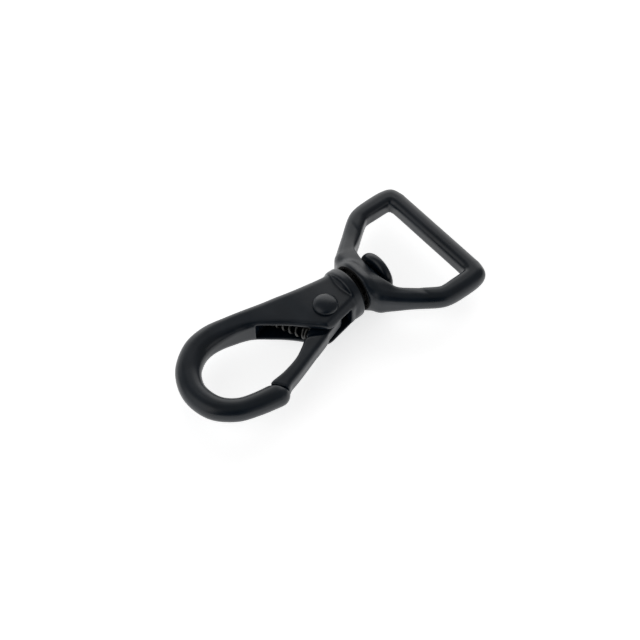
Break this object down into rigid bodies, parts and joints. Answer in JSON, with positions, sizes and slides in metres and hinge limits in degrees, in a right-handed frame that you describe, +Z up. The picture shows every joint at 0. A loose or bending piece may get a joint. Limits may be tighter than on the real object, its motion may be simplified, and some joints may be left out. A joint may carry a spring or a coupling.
{
  "type": "swivel snap hook",
  "caption": "Cast snap hook with a sprung pivoting gate, turning on a headed pin in a one-piece strap ring for flat webbing",
  "frame": {"origin": "under the middle of the whole object's box, on the surface it lies flat on", "axes": "+X runs along the swivel's axis from the hook's bow to the strap bar, +Y is away from the gate's side, +Z is up and parallel to the gate's rivet"},
  "size_m": [0.0735, 0.0348, 0.0126],
  "materials": {
    "black_coating": "satin",
    "spring_steel": "satin"
  },
  "bodies": {
    "hook": {"hook_body": "black_coating", "gate_rivet": "black_coating", "gate_spring": "spring_steel"},
    "gate": {"gate": "black_coating"},
    "pin": {"swivel_pin": "black_coating"},
    "ring": {"strap_ring": "black_coating"}
  },
  "joints": [
    {"name": "gate_hinge", "type": "hinge", "parent": "hook", "child": "gate", "pos_m": [0.00041, -0.0022, 0.0063], "axis": [0, 0, 1], "range_deg": [-32, 0], "stiffness_Nm_per_rad": 0.1, "springref_deg": 20.05, "deforming": ["gate_spring"]},
    {"name": "swivel", "type": "hinge", "parent": "hook", "child": "pin", "pos_m": [0, 0, 0.0063], "axis": [1, 0, 0], "continuous": true},
    {"name": "ring_end_play", "type": "slide", "parent": "pin", "child": "ring", "axis": [1, 0, 0], "range_m": [-0.0014, 0.0004]}
  ]
}
